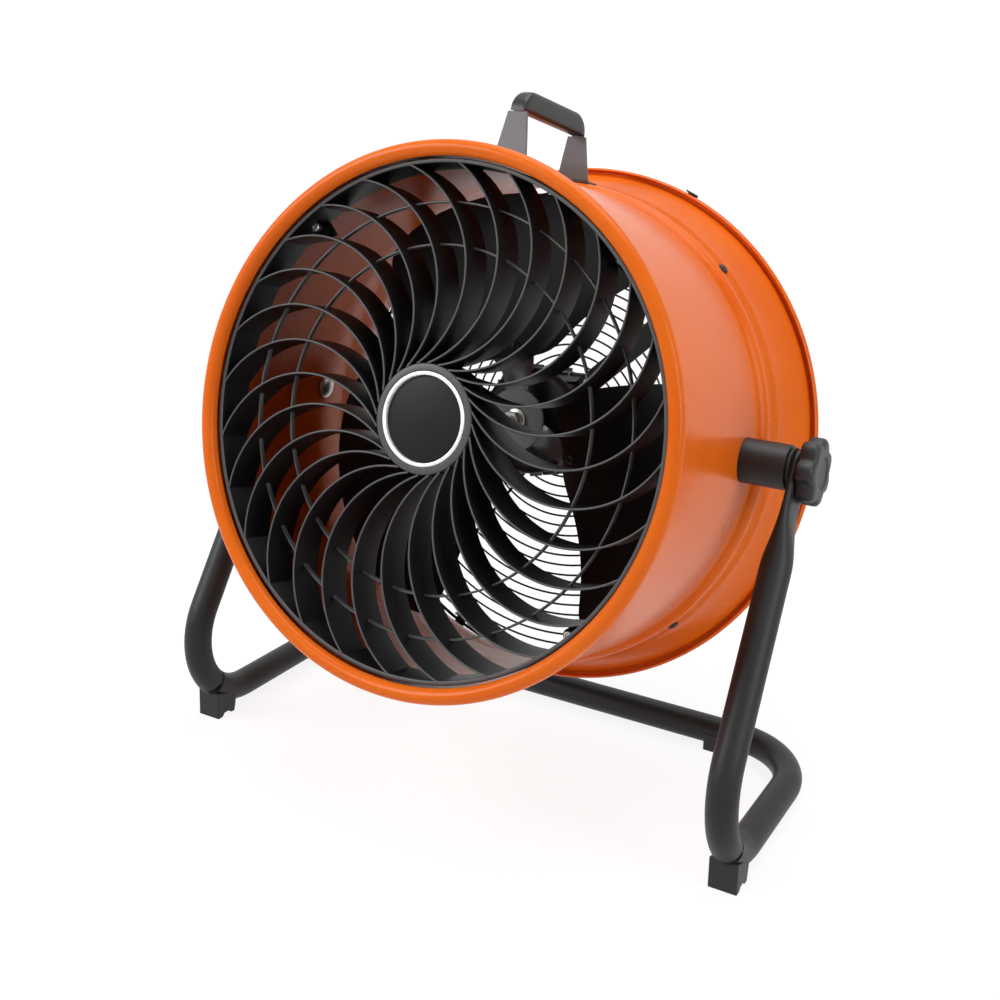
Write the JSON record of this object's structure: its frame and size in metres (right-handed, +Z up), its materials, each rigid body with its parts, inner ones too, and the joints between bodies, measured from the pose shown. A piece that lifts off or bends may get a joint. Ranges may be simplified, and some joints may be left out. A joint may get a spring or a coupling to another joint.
{
  "type": "drum fan",
  "caption": "Drum fan with a painted sheet-steel drum, swirled front grille, carry handle and a bent tube stand on which it tilts.",
  "frame": {"origin": "on the floor, under the centre of the box round the fan at rest", "axes": "+Z is up, -Y is the side the air leaves from, +X is to the right of someone who looks at the front grille"},
  "size_m": [0.6276, 0.4166, 0.6706],
  "materials": {
    "stand_paint": "satin powder coat",
    "foot_plastic": "matte moulded",
    "drum_paint": "gloss enamel",
    "black_plastic": "satin moulded",
    "bright_trim": "polished",
    "grey_steel": "satin paint",
    "zinc_steel": "zinc plated",
    "black_steel": "satin paint",
    "motor_casting": "painted casting",
    "core_steel": "laminated",
    "blade_metal": "satin paint",
    "rubber_washer": "matte",
    "switch_plastic": "matte moulded"
  },
  "bodies": {
    "stand": {"stand_tube": "stand_paint", "foot_clip_front_right": "foot_plastic", "foot_clip_front_left": "foot_plastic", "foot_clip_rear_right": "foot_plastic", "foot_clip_rear_left": "foot_plastic"},
    "drum": {"drum_shell": "drum_paint", "front_grille": "black_plastic", "badge_disc": "black_plastic", "handle_grip": "black_plastic", "switch_box": "black_plastic", "cable_gland": "black_plastic", "pivot_spacer_right": "black_plastic", "pivot_spacer_left": "black_plastic", "trim_ring": "bright_trim", "handle_strap": "grey_steel", "motor_arm_1": "grey_steel", "motor_arm_2": "grey_steel", "motor_arm_3": "grey_steel", "motor_arm_4": "grey_steel", "handle_screw_1": "zinc_steel", "handle_screw_2": "zinc_steel", "motor_bolt_1": "zinc_steel", "motor_bolt_2": "zinc_steel", "motor_bolt_3": "zinc_steel", "motor_bolt_4": "zinc_steel", "pivot_bolt_right": "zinc_steel", "pivot_bolt_left": "zinc_steel", "bearing_front": "zinc_steel", "bearing_rear": "zinc_steel", "grille_screw_1": "zinc_steel", "grille_screw_2": "zinc_steel", "grille_screw_3": "zinc_steel", "grille_screw_4": "zinc_steel", "bracket_screw_1": "black_steel", "bracket_screw_2": "black_steel", "bracket_screw_3": "black_steel", "bracket_screw_4": "black_steel", "rear_guard": "black_steel", "guard_clip_1": "black_steel", "guard_clip_2": "black_steel", "guard_clip_3": "black_steel", "guard_clip_4": "black_steel", "motor_front_housing": "motor_casting", "motor_rear_housing": "motor_casting", "stator": "core_steel", "friction_washer_right": "rubber_washer", "friction_washer_left": "rubber_washer", "rotary_switch": "switch_plastic", "capacitor": "switch_plastic"},
    "fan": {"fan_spider": "grey_steel", "fan_blade_1": "blade_metal", "fan_blade_2": "blade_metal", "fan_blade_3": "blade_metal", "motor_shaft": "zinc_steel", "rotor": "core_steel", "hub_nut": "zinc_steel"},
    "knob_right": {"clamp_knob_right": "black_plastic"},
    "knob_left": {"clamp_knob_left": "black_plastic"},
    "speed": {"speed_knob": "black_plastic"}
  },
  "joints": [
    {"name": "drum_tilt", "type": "hinge", "parent": "stand", "child": "drum", "pos_m": [0, 0.02916, 0.34703], "axis": [-1, 0, 0], "range_deg": [-103, 77]},
    {"name": "fan_spin", "type": "hinge", "parent": "drum", "child": "fan", "pos_m": [0, 0.02916, 0.34703], "axis": [0, -0.9744, 0.225], "continuous": true},
    {"name": "clamp_right", "type": "hinge", "parent": "drum", "child": "knob_right", "pos_m": [0.305, 0.02916, 0.34703], "axis": [1, 0, 0], "range_deg": [0, 270]},
    {"name": "clamp_left", "type": "hinge", "parent": "drum", "child": "knob_left", "pos_m": [-0.305, 0.02916, 0.34703], "axis": [-1, 0, 0], "range_deg": [0, 270]},
    {"name": "speed_turn", "type": "hinge", "parent": "drum", "child": "speed", "pos_m": [0, 0.17531, 0.31329], "axis": [0, 0.9744, -0.225], "range_deg": [0, 135]}
  ]
}
